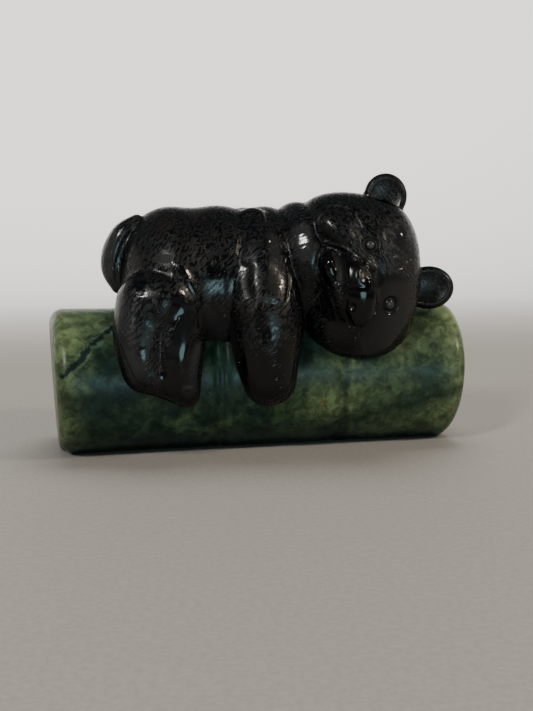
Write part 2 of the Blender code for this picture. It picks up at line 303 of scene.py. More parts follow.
def camera_axes():
    """The camera's right, up and backward directions."""
    back = np.array([math.sin(AZIMUTH) * math.cos(ELEVATION), -math.cos(AZIMUTH) * math.cos(ELEVATION),
                     math.sin(ELEVATION)])
    right = unit(np.cross(-back, (0, 0, 1)))
    return right, np.cross(right, -back), back


def rays_through(pixels):
    """The camera's place, and the direction of the ray through each pixel."""
    right, up, back = camera_axes()
    pixels = np.array(pixels, float)
    side = (pixels[:, 0] - PHOTO_SIZE[0] / 2) / PIXEL_FOCUS
    rise = (PHOTO_SIZE[1] / 2 - pixels[:, 1]) / PIXEL_FOCUS
    rays = side[:, None] * right + rise[:, None] * up - back
    return np.array(CAMERA_TARGET) + back * CAMERA_REACH, rays


RAY_START = CAMERA_REACH - 0.05
RAY_STEPS = 60
RAY_EASE = 0.85


def seen(pixels):
    """Points of the panda's surface under these pixels of the photograph."""
    eye, rays = rays_through(pixels)
    rays = rays / norm(rays, axis=1, keepdims=True)
    at = eye + rays * RAY_START
    for _ in range(RAY_STEPS):
        at = at + rays * seated_distance(at)[:, None] * RAY_EASE
    return at


# Carving, drawn over the photograph. Widths and depths are in millimetres; a depth below 0 raises.
# A line with a far shift is carved on the far side too, that much further along the log.
Line = namedtuple("Line", "pixels width depth far_shift", defaults=(None,))
Spot = namedtuple("Spot", "pixel width depth")
Ring = namedtuple("Ring", "pixel radius width depth")
# Far shift of the hind leg's carving
LEG = HIND_LEG.far_shift

LINES = (
    # Round patch on the cheek, with its shadowed border
    Line(((350, 209), (338, 207), (326, 209), (318, 216), (315, 227), (317, 237), (323, 242)), 0.6, 0.5),
    # Folds from the cheek to the muzzle, and the hollows beside them
    Line(((346, 215), (352, 225), (357, 233), (360, 241), (363, 249), (368, 256), (372, 261)), 0.45, -0.4),
    Line(((352, 212), (358, 222), (362, 231)), 0.6, 0.35),
    Line(((318, 240), (330, 243.5), (340, 246.5), (350, 251), (358, 255.5), (366, 262), (374, 268)),
         0.42, -0.42),
    Line(((343, 254), (351, 258), (358, 263)), 0.55, 0.45),
    # Dark hollow beside the muzzle, and the lip before it
    Line(((334, 250), (338, 258), (340.5, 268), (341, 278), (341, 285)), 1.25, 1.25),
    Line(((329, 256), (328, 268), (330, 280)), 1.3, -0.6),
    Line(((323, 246), (318.5, 255), (318, 265), (320.5, 275), (326, 284), (334, 290)), 0.38, 0.5),
    Line(((311, 262), (313, 272), (318, 281), (325, 289), (331, 300), (334, 311), (337, 322)), 0.5, -0.3),
    # Ridge and hollow at the top of the muzzle
    Line(((357, 267), (357.5, 275), (356, 284)), 0.9, -0.28),
    Line(((362, 268), (365, 276), (367, 284)), 0.9, 0.45),
    Line(((345, 288), (356, 287), (368, 289)), 0.6, 0.14),
    # Mouth
    Line(((338, 289), (343, 293), (346, 300)), 0.3, 0.3),
    # Border of the nose
    Line(((359, 264), (366, 272), (373.5, 284), (376.5, 299), (374.5, 312), (368, 322), (359, 328),
          (351, 326), (347.5, 317), (346.5, 302)), 0.36, 0.48),
    # Jaw
    Line(((367, 327), (362.5, 336), (361.5, 347), (365, 357)), 0.4, -0.22),
    # Furrows of the brow
    Line(((393, 257), (401, 252)), 0.3, 0.3),
    Line(((403, 263), (413, 257)), 0.34, 0.34),
    Line(((397, 269), (405, 266)), 0.3, 0.3),
    Line(((403, 275), (411, 272)), 0.3, 0.26),
    Line(((382, 207), (387, 215)), 0.28, 0.24),
    Line(((389, 219), (394, 228)), 0.3, 0.28),
    Line(((385, 230), (387, 242)), 0.3, 0.24),
    Line(((401, 229), (403, 245)), 1.6, -0.3),
    # Neck: a polished patch and the band along its edge
    Line(((301, 233), (305, 248)), 2.3, 0.26),
    Line(((285, 252), (291, 275), (296, 296), (300, 308), (303, 321)), 0.75, -0.4),
    # Folds of the arm over the back
    Line(((240, 209), (238, 222), (237, 240), (234, 257)), 0.6, -0.45, 0.0),
    Line(((247, 211), (247, 228), (244, 246)), 0.8, 0.3, 0.0),
    Line(((262, 212), (266, 226), (270, 240)), 0.38, -0.28, 0.0),
    Line(((273, 211), (279, 228), (285, 249), (290, 266)), 0.38, -0.32, 0.0),
    # Ridges and hollows of the foreleg
    Line(((237, 262), (232, 280), (231, 297), (238, 313)), 1.6, -0.4, 0.0),
    Line(((248, 262), (246, 284), (251, 301)), 1.4, 0.45, 0.0),
    Line(((272, 240), (276, 262), (274, 286)), 2.2, 0.26, 0.0),
    Line(((285, 258), (289, 280), (286, 302)), 0.38, 0.34, 0.0),
    Line(((262, 303), (272, 304), (281, 308)), 0.9, 0.35, 0.0),
    Line(((259, 312), (263, 328), (269, 343)), 1.6, 0.16, 0.0),
    # Edge of the forepaw
    Line(((245, 386), (249.5, 395), (261, 402), (273, 401), (285, 393), (292, 381), (296, 362)),
         0.28, 0.32, 0.0),
    # Border of the tail
    Line(((133, 229), (125, 240), (119, 254), (116, 270), (117, 284)), 0.5, 0.35),
    # Crest and hollows of the hind leg
    Line(((150, 274), (159, 272), (167, 276), (172, 284)), 0.9, 0.55, LEG),
    Line(((174, 263), (182, 270), (189, 281), (195, 292), (200, 304)), 0.85, -0.5, LEG),
    Line(((178, 294), (177, 306), (173, 319)), 1.9, 0.22, LEG),
    Line(((168, 290), (164, 305), (161, 325), (161, 345), (162, 362), (164, 384)), 2.2, -0.24, LEG),
    Line(((139, 270), (141, 284), (139, 296)), 1.7, 0.16, LEG),
    Line(((138, 345), (141, 362), (141, 376)), 1.5, -0.25, LEG),
    Line(((199, 338), (193, 356), (190, 374), (190, 390)), 1.3, 0.7, LEG),
    # Edge of the foot
    Line(((120, 345), (125, 359), (131, 373), (138, 383), (150, 390), (165, 395), (179, 400)),
         0.28, 0.32, LEG),
    # Fold of the belly
    Line(((217, 268), (215, 290), (215, 312)), 1.6, -0.22, 0.0),
)

# A patch on the cheek, a nostril and the two pupils
SPOTS = (
    Spot((333, 227), 2.6, -0.45),
    Spot((352, 307), 0.8, 0.75),
    Spot((370.5, 244.5), 0.75, -0.25),
    Spot((391, 305), 0.65, -0.22),
)

# The hollows round the two eyes, and the pad of the forepaw
RINGS = (
    Ring((370.5, 244.5), 1.56, 0.48, 0.66),
    Ring((391, 305), 1.62, 0.48, 0.66),
    Ring((278, 383), 1.25, 0.25, 0.16),
)


def mirrored(points, shift=0.0):
    """The like points on the far side."""
    return points * (1, -1, 1) + (shift * UNIT, 0, 0)


def near_box(points, line, margin):
    """Which points are within the margin of the line's box."""
    low = line.min(axis=0) - margin
    high = line.max(axis=0) + margin
    return np.all((points > low) & (points < high), axis=1)


def laid_out_lines():
    """Every carved line as points on the panda's surface, with its width and depth in metres."""
    laid = []
    for line in LINES:
        knots = seen(line.pixels)
        steps = np.linspace(0, len(knots) - 1, 5 * (len(knots) - 1) + 1)
        path = along_curve(knots, steps)
        sides = (path,) if line.far_shift is None else (path, mirrored(path, line.far_shift))
        laid.extend((side, line.width * UNIT, line.depth * UNIT) for side in sides)
    return laid


def laid_out_spots():
    """Every spot and ring as its middle, the way it faces, its radius, width and depth in metres."""
    laid = []
    for spot in SPOTS + RINGS:
        middle = seen([spot.pixel])
        facing = outward(middle, panda_distance)[0]
        radius = spot.radius * UNIT if isinstance(spot, Ring) else 0.0
        laid.append((middle[0], facing, radius, spot.width * UNIT, spot.depth * UNIT))
    return laid


LAID_LINES = laid_out_lines()
LAID_SPOTS = laid_out_spots()
# Length over which a carved line deepens from its ends, and the share of its depth that it has there
TAPER = 1.5
END_SHARE = 0.25
# How many widths from a line its carving is still worked out, and how far before or behind a spot
LINE_REACH = 3
SPOT_REACH = 0.003


def carved_depth(points):
    """How deep the fine carving goes at each point."""
    depth = np.zeros(len(points))
    for path, width, deepest in LAID_LINES:
        near = near_box(points, path, LINE_REACH * width)
        if not near.any():
            continue
        away, where = nearest_on_line(points[near], path)
        along = where * norm(path[1] - path[0])
        whole = (len(path) - 1) * norm(path[1] - path[0])
        ends = np.clip(np.minimum(along, whole - along) / (TAPER * UNIT), 0, 1)
        fade = END_SHARE + (1 - END_SHARE) * ends * ends * (3 - 2 * ends)
        depth[near] += deepest * fade * np.exp(-(away / width) ** 2)
    for middle, facing, radius, width, deepest in LAID_SPOTS:
        offset = points - middle
        height = offset @ facing
        across = norm(offset - height[:, None] * facing, axis=1)
        close = np.abs(height) < SPOT_REACH
        depth += close * deepest * np.exp(-((across - radius) / width) ** 2)
    return depth


def ear_cups(points):
    """Distance from the hollows of the ears, negative inside them."""
    nearest = None
    for ear in EARS.forms:
        middle = np.array(ear.centre) + EAR_BOWL_OFFSET * unit(ear.out)
        wide, tall, _ = ear.sizes
        sizes = (wide * EAR_BOWL_SPREAD, tall * EAR_BOWL_SPREAD, EAR_BOWL_DEPTH)
        own = ball_distance(points, Ball(tuple(middle), sizes, 0, ear.along, ear.out))
        nearest = own if nearest is None else np.minimum(nearest, own)
    return nearest


def carved_distance(points):
    """Distance from the finished figure."""
    distance = seated_distance(points) + carved_depth(points)
    return -join(-distance, ear_cups(points), EAR_BOWL_BLEND)


def new_object(name, data):
    made = bpy.data.objects.new(name, data)
    bpy.context.scene.collection.objects.link(made)
    return made


def add_sphere(bm, middle, axes, sizes, far, shift):
    """A stretched sphere, mirrored to the far side when it belongs there."""
    columns = np.array(axes) * np.array(sizes)
    middle = np.array(middle, float)
    if far:
        columns[1] *= -1
        columns[:, 0] *= -1
        middle = middle * (1, -1, 1) + (shift, 0, 0)
    matrix = Matrix(columns.tolist()).to_4x4()
    matrix.translation = middle.tolist()
    bmesh.ops.create_icosphere(bm, subdivisions=4, radius=1.0, matrix=matrix)


def even_skin(made):
    """One closed skin over overlapping bodies."""
    remesh = made.modifiers.new("Skin", "REMESH")
    remesh.mode = "VOXEL"
    remesh.voxel_size = SKIN_STEP


def rough_panda():
    """Spheres over all the forms, joined into one skin, with the log's place cut out."""
    bm = bmesh.new()
    for part in PANDA:
        shift = part.far_shift * UNIT
        for far in ((False, True) if part.both_sides else (False,)):
            for form in part.forms:
                if isinstance(form, Ball):
                    axes = square_axes(form.along, form.out)
                    add_sphere(bm, place(form.centre), axes, np.array(form.sizes) * UNIT, far, shift)
                    continue
                for x, y, z, radius in roll_spine(form, 4)[2]:
                    add_sphere(bm, (x, y, z), np.eye(3), (radius,) * 3, far, shift)
    spheres = bpy.data.meshes.new("rough")
    bm.to_mesh(spheres)
    bm.free()
    rough = new_object("rough", spheres)
    even_skin(rough)
    bpy.ops.mesh.primitive_cylinder_add(
        vertices=128, radius=LOG_RADIUS, depth=3 * LOG_LENGTH, location=(0, 0, AXIS_HEIGHT),
        rotation=(0, math.radians(90), 0))
    cutter = bpy.context.object
    boolean = rough.modifiers.new("Seat", "BOOLEAN")
    boolean.operation = "DIFFERENCE"
    boolean.solver = "EXACT"
    boolean.object = cutter
    even_skin(rough)
    graph = bpy.context.evaluated_depsgraph_get()
    graph.update()
    mesh = bpy.data.meshes.new_from_object(rough.evaluated_get(graph))
    for used in (rough, cutter):
        bpy.data.objects.remove(used, do_unlink=True)
    return mesh


def read_rows(things, name, width, kind=float):
    """One row of numbers for each vertex, edge or face."""
    rows = np.empty(width * len(things), kind)
    things.foreach_get(name, rows)
    return rows.reshape(-1, width)


def settle(mesh, distance, rounds, ease=0.5):
    """Relax a skin and draw it onto a form."""
    points = read_rows(mesh.vertices, "co", 3)
    edges = read_rows(mesh.edges, "vertices", 2, int)
    count = np.bincount(edges.ravel(), minlength=len(points))[:, None]
    for _ in range(rounds):
        sums = np.zeros_like(points)
        for axis in range(3):
            sums[:, axis] += np.bincount(edges[:, 0], points[edges[:, 1], axis], len(points))
            sums[:, axis] += np.bincount(edges[:, 1], points[edges[:, 0], axis], len(points))
        pull = sums / count - points
        normal = outward(points, distance)
        pull -= normal * np.sum(pull * normal, axis=1, keepdims=True)
        points = points + ease * pull
        points = points - normal * distance(points)[:, None]
    mesh.vertices.foreach_set("co", points.ravel())
    mesh.update()
    return points


def split_faces(mesh, wanted):
    """Cut the wanted faces into four."""
    bm = bmesh.new()
    bm.from_mesh(mesh)
    bm.faces.ensure_lookup_table()
    chosen = {edge for face, keep in zip(bm.faces, wanted) if keep for edge in face.edges}
    bmesh.ops.subdivide_edges(bm, edges=list(chosen), cuts=1, use_grid_fill=True)
    bm.to_mesh(mesh)
    bm.free()


# Places with the finest mesh: a pixel and a radius in metres
FINE_SPOTS = (((350, 288), 0.01), ((370, 244), 0.003), ((391, 305), 0.003), ((385, 190), 0.0054),
              ((437, 287), 0.0054), ((340, 236), 0.0065))


def make_panda():
    """The rough skin, drawn onto the form and made finer, first where it shows and then on the face."""
    mesh = rough_panda()
    settle(mesh, seated_distance, 5)
    split_faces(mesh, inside_seat(read_rows(mesh.polygons, "center", 3)) < -SEAT_STRIP)
    settle(mesh, seated_distance, 2)
    middles = read_rows(mesh.polygons, "center", 3)
    fine = np.zeros(len(middles), bool)
    for pixel, radius in FINE_SPOTS:
        fine |= norm(middles - seen([pixel])[0], axis=1) < radius
    split_faces(mesh, fine)
    points = settle(mesh, carved_distance, 2, 0.3)
    mesh.shade_smooth()
    mesh.normals_split_custom_set_from_vertices(outward(points, carved_distance).tolist())
    return new_object("panda_figure", mesh), points


def number_on(mesh, name, values):
    attribute = mesh.attributes.new(name, "FLOAT", "POINT")
    attribute.data.foreach_set("value", np.asarray(values, np.float32))


def log_radius_at(x):
    radius = LOG_RADIUS + END_FLARE * (2 * (x - LOG_MIDDLE) / LOG_LENGTH) ** 4
    for middle, width in zip(GROOVE_PLACES, GROOVE_WIDTHS):
        radius = radius - GROOVE_DEPTH * np.exp(-((x - middle) / width) ** 2)
    return radius


# Noise is a sum of this many waves.
WAVES = 24
WEAR_SIZE = 0.016
WEAR_DEPTH = 0.0001
WEAR_SEED = 5
FLOOR_SOFTNESS = 0.0006
CHIP_MIDDLE = (-0.0529, -0.007, -0.003)
CHIP_SIZE = 0.0075
CHIP_INWARD = (0.6, 0.5, 0.6)
CHIP_PUSH = 0.45
# Points round the log, and rings of them along its body, round each corner and over each end
LOG_SIDES = 208
BODY_RINGS = 210
CORNER_RINGS = 9
FACE_RINGS = 16


def soft_noise(points, size, seed):
    """Smooth noise from about -1 to 1, made of waves in many directions."""
    rng = np.random.default_rng(seed)
    directions = rng.normal(size=(WAVES, 3))
    directions /= norm(directions, axis=1, keepdims=True)
    lengths = size * rng.uniform(0.7, 1.5, WAVES)
    phases = rng.uniform(0, 2 * math.pi, WAVES)
    total = np.sin(points @ (directions / lengths[:, None] * 2 * math.pi).T + phases).sum(axis=1)
    return total / math.sqrt(WAVES / 2) / 2


def soft_floor(heights):
    """Heights kept above 0, with a small rounding where they meet it."""
    share = np.clip(0.5 + 0.5 * heights / FLOOR_SOFTNESS, 0, 1)
    return heights * share + FLOOR_SOFTNESS * share * (1 - share) * 0.5


def chip(points):
    """Push the points near the broken corner inward."""
    away = norm(points - np.array(CHIP_MIDDLE), axis=1)
    push = np.clip(CHIP_SIZE - away, 0, None)
    return points + push[:, None] * unit(CHIP_INWARD) * CHIP_PUSH


def ring_faces(rings, sides, first=0):
    """Faces between neighbouring rings of points."""
    faces = []
    for start in range(first, first + (rings - 1) * sides, sides):
        for side in range(sides):
            after = (side + 1) % sides
            faces.append((start + side, start + after, start + sides + after, start + sides + side))
    return faces


def smooth_object(name, points, faces):
    mesh = bpy.data.meshes.new(name)
    mesh.from_pydata(points, [], faces)
    mesh.update()
    mesh.shade_smooth()
    return new_object(name, mesh)


def log_outline():
    """Places along the log and the radius at each, before its ends lean."""
    half = LOG_LENGTH / 2
    straight = half - END_ROUNDING
    body = np.linspace(-straight, straight, BODY_RINGS)
    rim = log_radius_at(LOG_MIDDLE + straight) - END_ROUNDING
    turns = np.linspace(0, math.pi / 2, CORNER_RINGS + 1)[1:]
    face = np.linspace(rim, 0, FACE_RINGS + 2)[1:-1]
    end_x = np.concatenate([straight + END_ROUNDING * np.sin(turns), np.full(FACE_RINGS, half)])
    end_r = np.concatenate([rim + END_ROUNDING * np.cos(turns), face])
    xs = np.concatenate([-end_x[::-1], body, end_x])
    rs = np.concatenate([end_r[::-1], log_radius_at(LOG_MIDDLE + body), end_r])
    return xs, rs


def make_log():
    """Turned along its axis, then worn by hand: leaning ends, a flat foot and a chipped corner."""
    xs, rs = log_outline()
    rings = len(xs)
    radius = np.repeat(rs, LOG_SIDES)
    turn = np.tile(np.arange(LOG_SIDES) * 2 * math.pi / LOG_SIDES, rings)
    points = np.column_stack([np.repeat(xs, LOG_SIDES), radius * np.sin(turn), radius * np.cos(turn)])
    points = np.vstack([points, [(xs[0], 0, 0), (xs[-1], 0, 0)]])
    wear = np.clip(0.5 + 0.5 * soft_noise(points, WEAR_SIZE, WEAR_SEED), 0, 1)
    inward = points * (0, 1, 1)
    inward /= np.maximum(norm(inward, axis=1, keepdims=True), 1e-9)
    points -= inward * wear[:, None] * WEAR_DEPTH
    points[:, 2] += AXIS_HEIGHT
    lean = np.where(points[:, 0] > 0, END_LEAN, START_LEAN) * (1 - points[:, 2] / (2 * LOG_RADIUS))
    points[:, 0] *= 1 - 2 * lean / LOG_LENGTH
    points[:, 0] += LOG_MIDDLE
    points[:, 2] = soft_floor(points[:, 2])
    points = chip(points)
    faces = ring_faces(rings, LOG_SIDES)
    last = (rings - 1) * LOG_SIDES
    for side in range(LOG_SIDES):
        after = (side + 1) % LOG_SIDES
        faces.append((rings * LOG_SIDES, after, side))
        faces.append((rings * LOG_SIDES + 1, last + side, last + after))
    return smooth_object("bamboo_log_figure", points.tolist(), faces)


# Materials

IN_MILLIMETRES = (1000, 1000, 1000)

GLASS_POLISHED = (0.0009, 0.0009, 0.0011)
GLASS_CUT = (0.0028, 0.0031, 0.0036)
# Painted sheen: paler glass where highlights and reflections fall
GLASS_PAINTED_SHEEN = (0.024, 0.025, 0.0245)
GLASS_BROWN = (0.01, 0.005, 0.002)
GLASS_SPECK = (0.22, 0.075, 0.015)
# Painted shade in carved grooves and painted highlight on raised ridges
GLASS_GROOVE_SHADE = (0.0006, 0.0007, 0.0009)
GLASS_RIDGE_HIGHLIGHT = (0.015, 0.0145, 0.014)
# Painted highlight on the pupils
GLASS_PUPIL_HIGHLIGHT = (0.03, 0.029, 0.03)

STONE_DEEP = (0.01, 0.027, 0.018)
STONE_GREEN = (0.029, 0.052, 0.026)
STONE_PATCH = (0.066, 0.098, 0.042)
# Pale stone, and painted light on the node's edge and through the ends
STONE_PALE_AND_PAINTED_LIGHT = (0.108, 0.14, 0.062)
# Dark stone, and painted shade in the node's groove and low on the front
STONE_DARK_AND_SHADE = (0.004, 0.014, 0.011)
STONE_PALE = (0.085, 0.115, 0.08)
STONE_RIM = (0.07, 0.105, 0.075)
STONE_VEIN = (0.003, 0.009, 0.009)
STONE_SPECK = (0.002, 0.003, 0.002)
STONE_RUST = (0.12, 0.035, 0.01)

FLOOR_DARK = (0.215, 0.203, 0.184)
FLOOR_LIGHT = (0.245, 0.232, 0.212)
WALL_GLOW = (1.0, 0.99, 0.95, 1.0)

# Strokes of the fur: their fineness along, across and out, how they slant on the body and the head,
# and how far they wander
STROKE_SCALE = (900, 2400, 3100)
BODY_SLANT = (0, math.radians(50), 0)
HEAD_SLANT = (0, math.radians(-52), 0)
STROKE_BEND = (0.003, 0.003, 0.003)


class Graph:
    """Short calls for building a material's nodes."""

    def __init__(self, name):
        self.material = bpy.data.materials.new(name)
        self.material.use_nodes = True
        self.tree = self.material.node_tree
        self.shader = self.tree.nodes["Principled BSDF"]

    def node(self, kind, **settings):
        made = self.tree.nodes.new(kind)
        for name, value in settings.items():
            setattr(made, name, value)
        return made

    def feed(self, made, values):
        """Link or set the node's inputs, each by its name or number."""
        for name, value in values.items():
            if isinstance(value, bpy.types.NodeSocket):
                self.tree.links.new(value, made.inputs[name])
            else:
                made.inputs[name].default_value = value
        return made

    def math(self, operation, first, second):
        made = self.node("ShaderNodeMath", operation=operation)
        return self.feed(made, {0: first, 1: second}).outputs[0]

    def times(self, first, second):
        return self.math("MULTIPLY", first, second)

    def plus(self, first, second):
        return self.math("ADD", first, second)

    def number(self, name):
        """A number that the mesh carries at each point."""
        return self.node("ShaderNodeAttribute", attribute_name=name).outputs["Fac"]

    def position(self):
        return self.node("ShaderNodeTexCoord").outputs["Object"]

    def place(self, scale, turn=(0, 0, 0), vector=None):
        """The position, or another vector, turned and then stretched."""
        turned = self.node("ShaderNodeMapping", vector_type="POINT")
        self.feed(turned, {"Vector": vector or self.position(), "Rotation": turn})
        stretched = self.node("ShaderNodeVectorMath", operation="MULTIPLY")
        return self.feed(stretched, {0: turned.outputs[0], 1: scale}).outputs[0]

    def noise(self, vector, scale, detail, rough=0.5, distortion=0.0):
        made = self.node("ShaderNodeTexNoise")
        values = {"Vector": vector, "Scale": scale, "Detail": detail, "Roughness": rough}
        return self.feed(made, {**values, "Distortion": distortion}).outputs["Fac"]

    def range(self, value, low, high, start=0.0, end=1.0):
        """A smooth step from start to end while the value goes from low to high."""
        made = self.node("ShaderNodeMapRange", clamp=True, interpolation_type="SMOOTHSTEP")
        limits = {"From Min": low, "From Max": high, "To Min": start, "To Max": end}
        return self.feed(made, {"Value": value, **limits}).outputs["Result"]

    def blend(self, share, first, second, mode="MIX"):
        made = self.node("ShaderNodeMix", data_type="RGBA", blend_type=mode)
        first, second = (colour if isinstance(colour, bpy.types.NodeSocket) else (*colour, 1.0)
                         for colour in (first, second))
        return self.feed(made, {0: share, 6: first, 7: second}).outputs[2]

    def bump(self, height, distance, strength, before=None):
        """A relief, laid over the relief before it."""
        values = {"Height": height, "Distance": distance, "Strength": strength}
        if before is not None:
            values["Normal"] = before
        return self.feed(self.node("ShaderNodeBump"), values).outputs["Normal"]


def fur_strokes(g, fur, wander):
    """Where the short strokes of the fur are cut, from 0 to 1."""
    bend = g.feed(g.node("ShaderNodeTexNoise"), {"Vector": wander, "Scale": 0.16})
    bent = g.node("ShaderNodeVectorMath", operation="MULTIPLY_ADD")
    g.feed(bent, {0: bend.outputs["Color"], 1: STROKE_BEND, 2: g.position()})
    body_dash, head_dash = (g.noise(g.place(STROKE_SCALE, slant, bent.outputs[0]), 0.72, 1.0, 0.5)
                            for slant in (BODY_SLANT, HEAD_SLANT))
    dash = g.node("ShaderNodeMix", data_type="FLOAT")
    g.feed(dash, {0: g.number("head"), 2: body_dash, 3: head_dash})
    tuft = g.noise(wander, 0.42, 2.0, 0.5)
    level = g.plus(dash.outputs[0], g.times(fur, 0.19))
    level = g.plus(level, g.times(tuft, 0.16))
    return g.times(g.range(level, 0.735, 0.8), g.range(fur, 0.02, 0.18))


def dark_glass():
    g = Graph("dark volcanic glass")
    fur = g.number("fur")
    wander = g.place(IN_MILLIMETRES)
    cut = fur_strokes(g, fur, wander)
    scratch = g.noise(g.place((260, 5200, 5200), (0, math.radians(20), 0)), 1.0, 2.0, 0.6)
    colour = g.blend(cut, GLASS_POLISHED, GLASS_CUT)
    # Painted sheen: the glass made paler where highlights and reflections fall
    colour = g.blend(g.number("painted_sheen"), colour, GLASS_PAINTED_SHEEN)
    brown = g.range(g.noise(wander, 0.055, 3.0, 0.6), 0.56, 0.74, 0.0, 0.3)
    colour = g.blend(brown, colour, GLASS_BROWN)
    speck = g.range(g.noise(g.place((900, 900, 900)), 2.6, 1.0, 0.5), 0.765, 0.8, 0.0, 1.0)
    colour = g.blend(g.times(speck, fur), colour, GLASS_SPECK)
    # Painted shade darkens the carved grooves, painted highlight lightens the raised ridges
    groove_shade = g.range(g.number("carving_and_shade"), 0.24, 0.5)
    ridge_highlight = g.range(g.number("carving_and_shade"), -0.08, -0.45)
    pupil_highlight = g.number("pupil_highlight")
    colour = g.blend(groove_shade, colour, GLASS_GROOVE_SHADE)
    colour = g.blend(g.times(ridge_highlight, 0.5), colour, GLASS_RIDGE_HIGHLIGHT)
    # Painted highlight on the pupils
    colour = g.blend(pupil_highlight, colour, GLASS_PUPIL_HIGHLIGHT)
    deep = g.range(fur, 0.5, 1.0)
    stroke_rough = g.times(cut, g.plus(0.15, g.times(deep, 0.05)))
    rough = g.plus(g.range(scratch, 0.3, 0.8, 0.1, 0.15), g.times(deep, 0.1))
    rough = g.plus(rough, stroke_rough)
    for least in (g.number("matt"), g.times(groove_shade, 0.6), g.times(pupil_highlight, 0.3)):
        rough = g.math("MAXIMUM", rough, least)
    waves = g.noise(wander, 0.35, 1.0, 0.5)
    normal = g.bump(waves, 0.00012, 0.35)
    normal = g.bump(scratch, 0.000002, 0.3, normal)
    normal = g.bump(g.times(cut, -1.0), 0.00007, 0.9, normal)
    g.feed(g.shader, {"Base Color": colour, "Roughness": rough, "IOR": 1.5, "Specular IOR Level": 0.3,
                      "Normal": normal})
    return g.material


def grey(g, value):
    """A number as a colour, so that two of them can be mixed."""
    return g.feed(g.node("ShaderNodeCombineColor"), {0: value, 1: value, 2: value}).outputs[0]


def green_stone():
    g = Graph("green serpentine")
    at = g.place(IN_MILLIMETRES)
    cloud = g.noise(at, 0.055, 4.0, 0.55, 0.6)
    patch = g.noise(g.place(IN_MILLIMETRES, (0.4, 0.3, 0.9)), 0.14, 4.0, 0.6, 0.8)
    # Pale stone, with painted highlight on the node's edge and painted light shining through the ends
    light = g.times(g.number("light"), g.range(patch, 0.3, 0.62, 0.45, 1.0))
    # Dark stone, with painted shade in the node's groove and low on the front
    dark_and_shade = g.times(g.number("dark_and_shade"), g.range(patch, 0.3, 0.7, 1.0, 0.55))
    colour = g.blend(g.range(cloud, 0.38, 0.66), STONE_DEEP, STONE_GREEN)
    colour = g.blend(g.range(patch, 0.5, 0.72, 0.0, 0.8), colour, STONE_PATCH)
    colour = g.blend(light, colour, STONE_PALE_AND_PAINTED_LIGHT)
    colour = g.blend(dark_and_shade, colour, STONE_DARK_AND_SHADE)
    pale = g.range(g.noise(at, 0.33, 5.0, 0.7, 1.2), 0.56, 0.7, 0.0, 0.4)
    colour = g.blend(g.times(pale, g.number("pale")), colour, STONE_PALE)
    stray = g.times(g.plus(g.noise(at, 0.45, 4.0, 0.65), -0.5), 3.4)
    ragged = g.plus(g.number("vein"), stray)
    rim = g.times(g.range(ragged, 1.5, 0.9), g.range(ragged, 0.3, 0.8))
    colour = g.blend(g.times(rim, 0.45), colour, STONE_RIM)
    colour = g.blend(g.times(g.range(ragged, 0.95, 0.25), 0.92), colour, STONE_VEIN)
    fleck = g.range(g.noise(at, 0.42, 4.0, 0.65, 0.5), 0.36, 0.64, 0.55, 1.3)
    grain = g.range(g.noise(at, 0.9, 3.0, 0.6), 0.3, 0.42, 0.72, 1.0)
    for shade in (fleck, grain):
        colour = g.blend(1.0, colour, grey(g, shade), "MULTIPLY")
    speck = g.range(g.noise(at, 1.7, 1.0, 0.5), 0.265, 0.235)
    colour = g.blend(g.times(speck, 0.8), colour, STONE_SPECK)
    colour = g.blend(g.number("rust"), colour, STONE_RUST)
    rough = g.range(g.noise(at, 0.6, 3.0, 0.6), 0.3, 0.7, 0.27, 0.4)
    normal = g.bump(g.noise(at, 1.5, 4.0, 0.7), 0.00005, 0.5)
    normal = g.bump(g.noise(g.place((300, 2600, 2600)), 1.0, 2.0, 0.6), 0.000015, 0.5, normal)
    g.feed(g.shader, {"Base Color": colour, "Roughness": rough, "IOR": 1.55, "Specular IOR Level": 0.16,
                      "Subsurface Weight": 0.25, "Subsurface Radius": (0.002, 0.0026, 0.0012),
                      "Subsurface Scale": 1.0, "Normal": normal})
    return g.material


def unrolled(points):
    """Length along the log and way round it from the top towards the face, both in millimetres."""
    around = np.arctan2(-points[:, 1], points[:, 2] - AXIS_HEIGHT)
    return points[:, 0] / UNIT, around * LOG_RADIUS / UNIT


def log_pixels(pixels):
    """Where pixels of the photograph fall on the log, unrolled."""
    eye, rays = rays_through(pixels)
    start = eye[1:] - (0, AXIS_HEIGHT)
    run = rays[:, 1:]
    a = np.sum(run * run, axis=1)
    b = run @ start
    c = start @ start - LOG_RADIUS ** 2
    reach = (-b - np.sqrt(np.maximum(b * b - a * c, 0))) / a
    return np.column_stack(unrolled(eye + rays * reach[:, None]))


# Places of the stone's colours, and of painted shade and painted light, drawn over the photograph. Widths
# and reaches are in millimetres.
VEIN = ((122, 322), (100, 338), (88, 349), (80, 362), (62, 377))
DARK_BAND = ((318, 432), (350, 421), (385, 411), (425, 400), (462, 388))
# Painted shade inside the node's groove and painted highlight on its edge
NODE_SHADE = ((347, 358), (346, 385), (345, 410), (344, 438))
NODE_SHINE = ((353, 358), (352, 385), (351, 410), (350, 438))
NODE_WIDTH = 0.5
BAND_WIDTH = 1.9
# Height over which painted shade darkens the front towards the floor, in metres
PAINTED_SHADE_HEIGHT = 0.0035
# Painted light at the ends, standing in for light shining through the thin stone: where along the log, and
# how wide
PAINTED_GLOW_ENDS = ((-51, 4.5), (50, 5.5))
